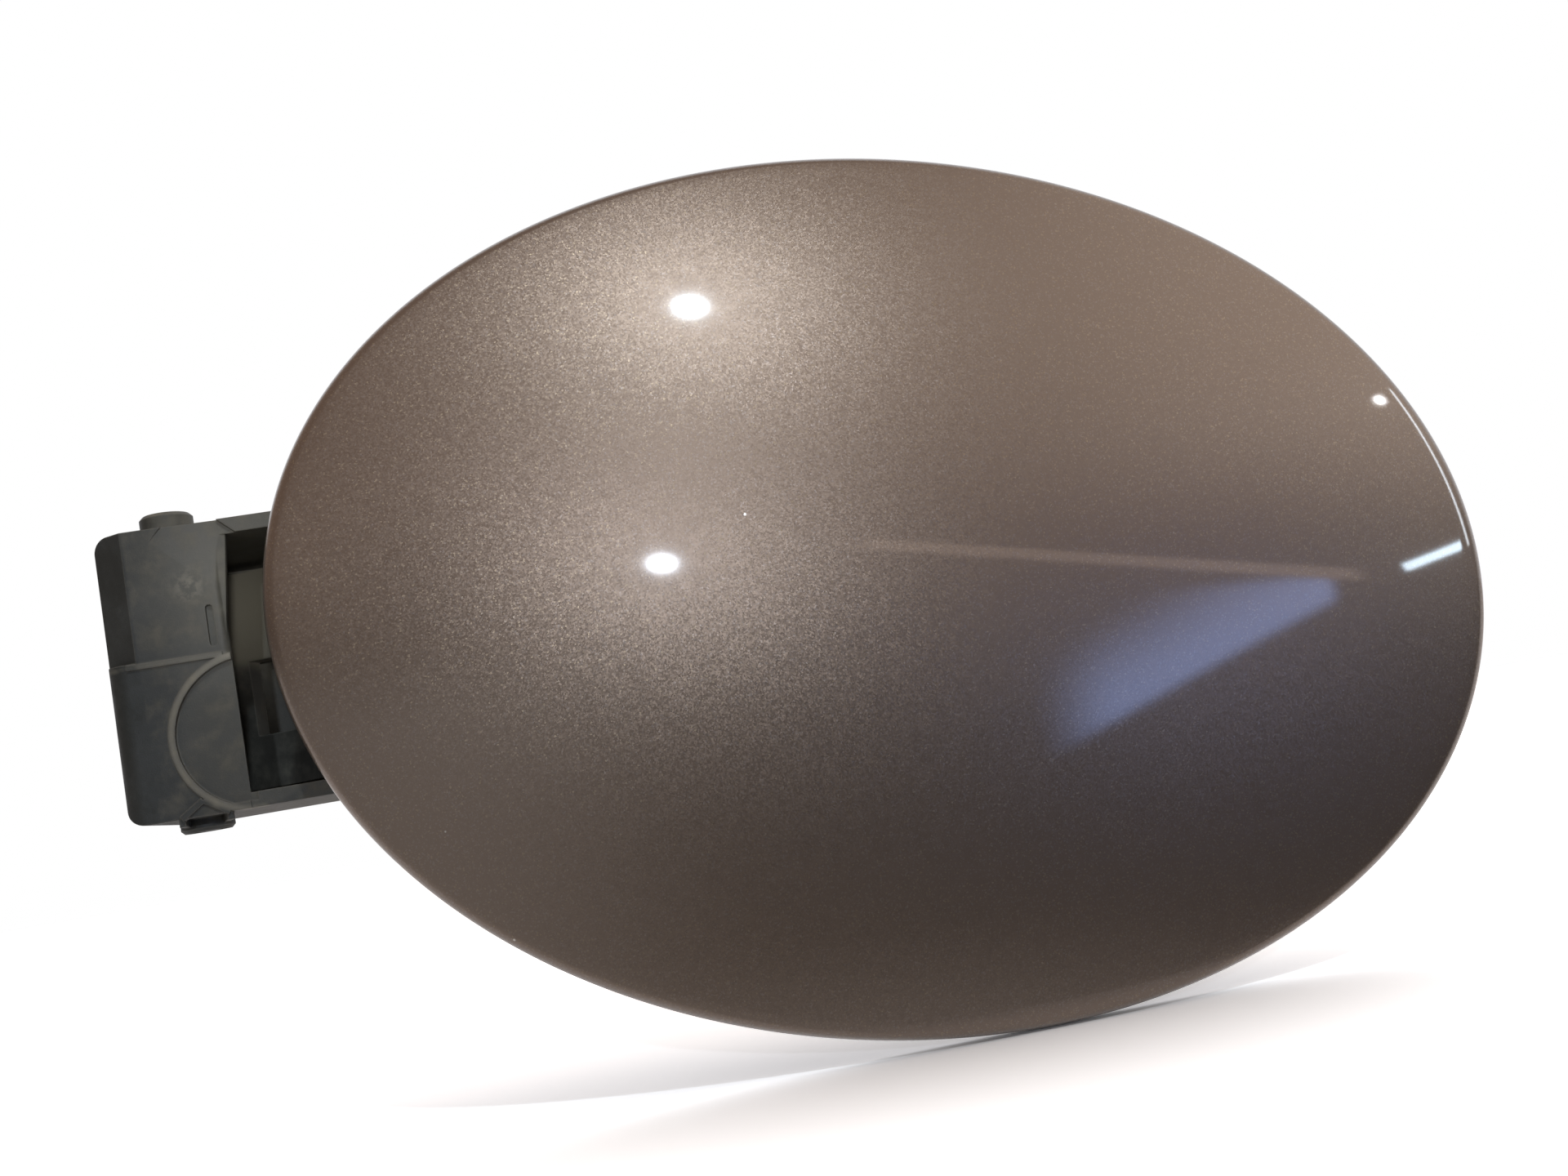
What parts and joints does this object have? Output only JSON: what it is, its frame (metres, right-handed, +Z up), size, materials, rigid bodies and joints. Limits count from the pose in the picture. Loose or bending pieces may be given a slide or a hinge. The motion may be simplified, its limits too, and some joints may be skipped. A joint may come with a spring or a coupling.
{
  "type": "car fuel door",
  "caption": "Oval painted fuel door with a rolled rim on a sprung goose-neck hinge in a black moulded housing.",
  "frame": {"origin": "midway between the two screw holes, on the back face of the hinge housing's flange", "axes": "+Z up along the hinge pin, +Y into the car body, so that the door faces -Y, +X from the hinge toward the latch"},
  "size_m": [0.2027, 0.0607, 0.131],
  "materials": {
    "body_paint": "gloss metallic with clear coat",
    "inner_paint": "satin",
    "housing_plastic": "matte, dusty",
    "black_plastic": "matte",
    "zinc_steel": "zinc plated",
    "spring_steel": "satin",
    "dark_steel": "phosphated",
    "bush_plastic": "natural",
    "rubber": "matte",
    "mastic": "matte"
  },
  "bodies": {
    "housing": {"hinge_housing": "housing_plastic", "hinge_pin": "dark_steel", "pin_clip": "dark_steel", "torsion_spring": "spring_steel", "spring_sleeve": "bush_plastic", "mount_sleeves": "zinc_steel", "open_stop": "rubber"},
    "door": {"outer_panel": "body_paint", "inner_panel": "inner_paint", "reinforcement_plate": "zinc_steel", "weld_nuts": "zinc_steel", "mastic_pads": "mastic", "hinge_arm": "black_plastic", "arm_screws": "zinc_steel", "upper_bush": "bush_plastic", "lower_bush": "bush_plastic", "latch_striker": "zinc_steel", "striker_screws": "zinc_steel", "striker_nuts": "zinc_steel", "upper_buffer": "rubber", "lower_buffer": "rubber", "cap_holder": "black_plastic", "holder_rivets": "black_plastic"}
  },
  "joints": [
    {"name": "door_hinge", "type": "hinge", "parent": "housing", "child": "door", "pos_m": [-0.025, -0.0295, 0], "axis": [0, 0, -1], "range_deg": [0, 100], "stiffness_Nm_per_rad": 0.05, "springref_deg": -28.65, "deforming": ["torsion_spring"]}
  ]
}
